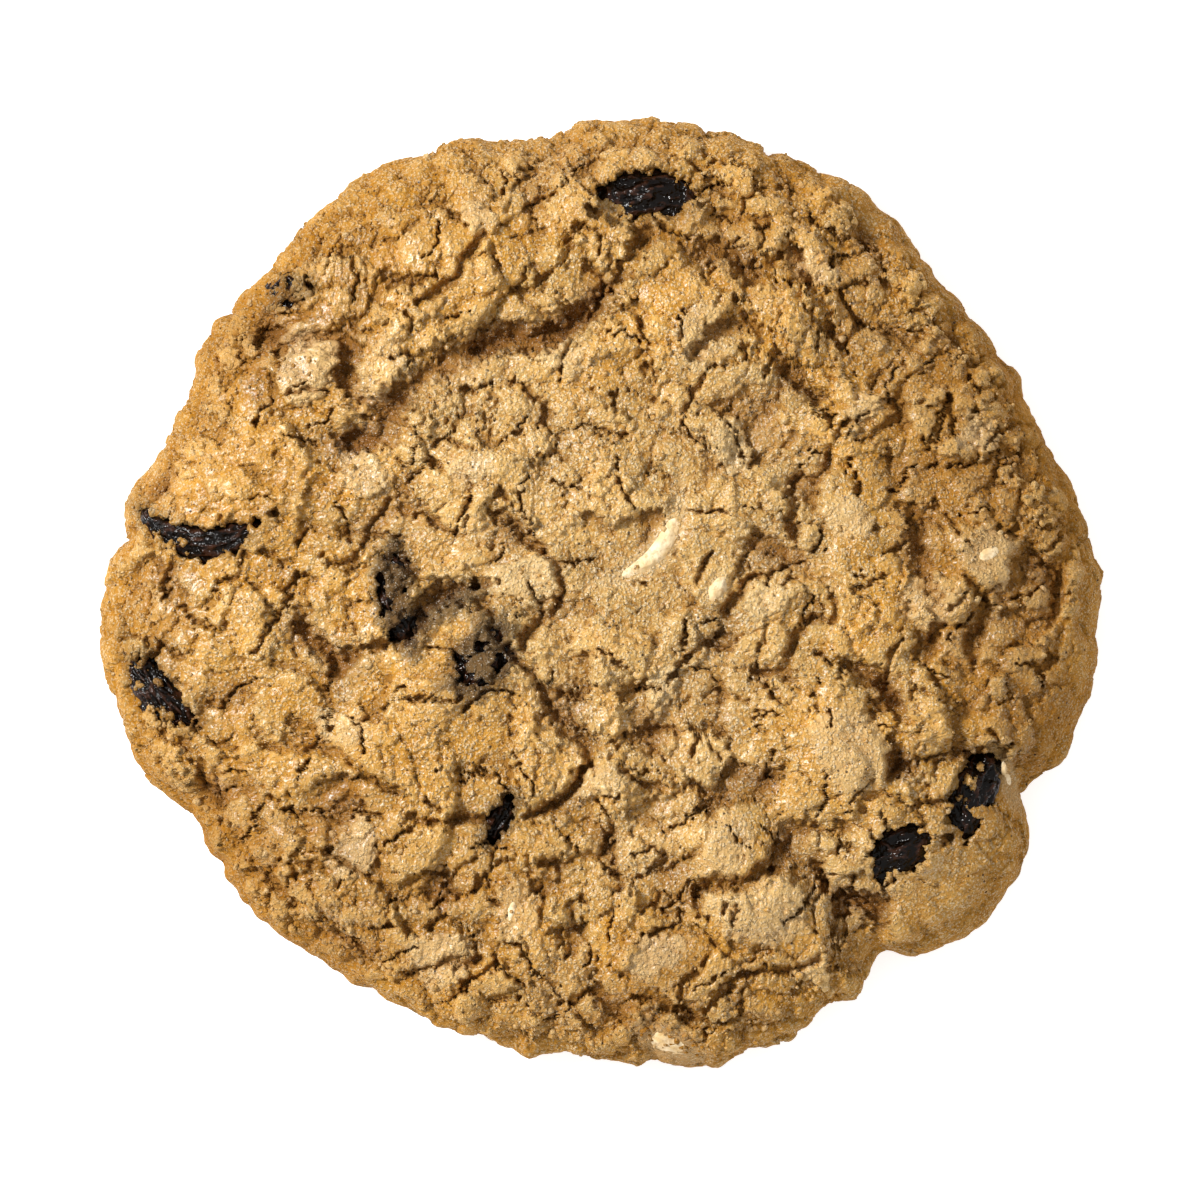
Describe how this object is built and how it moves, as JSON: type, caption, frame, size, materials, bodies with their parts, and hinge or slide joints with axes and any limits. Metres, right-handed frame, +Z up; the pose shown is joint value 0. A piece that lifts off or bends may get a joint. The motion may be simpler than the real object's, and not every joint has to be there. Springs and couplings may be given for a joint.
{
  "type": "oatmeal raisin cookie",
  "caption": "Round baked oatmeal cookie with a cracked, craggy golden crust, rolled oat flakes in it and dark wrinkled raisins set in its surface, flat underneath.",
  "frame": {"origin": "middle of the flat underside, which stands on the table", "axes": "+Z up through the cookie, +X to the right and +Y to the top as seen from above"},
  "size_m": [0.09, 0.085, 0.0143],
  "materials": {
    "crust": "matte, grainy baked dough with golden edges and darker cracks",
    "raisin": "dark, wrinkled and slightly glossy",
    "oat": "pale matte rolled oat"
  },
  "bodies": {
    "root": {"dough": "crust", "raisin_1": "raisin", "raisin_2": "raisin", "raisin_3": "raisin", "raisin_4": "raisin", "raisin_5": "raisin", "raisin_6": "raisin", "raisin_7": "raisin", "raisin_8": "raisin", "raisin_9": "raisin"}
  },
  "joints": []
}
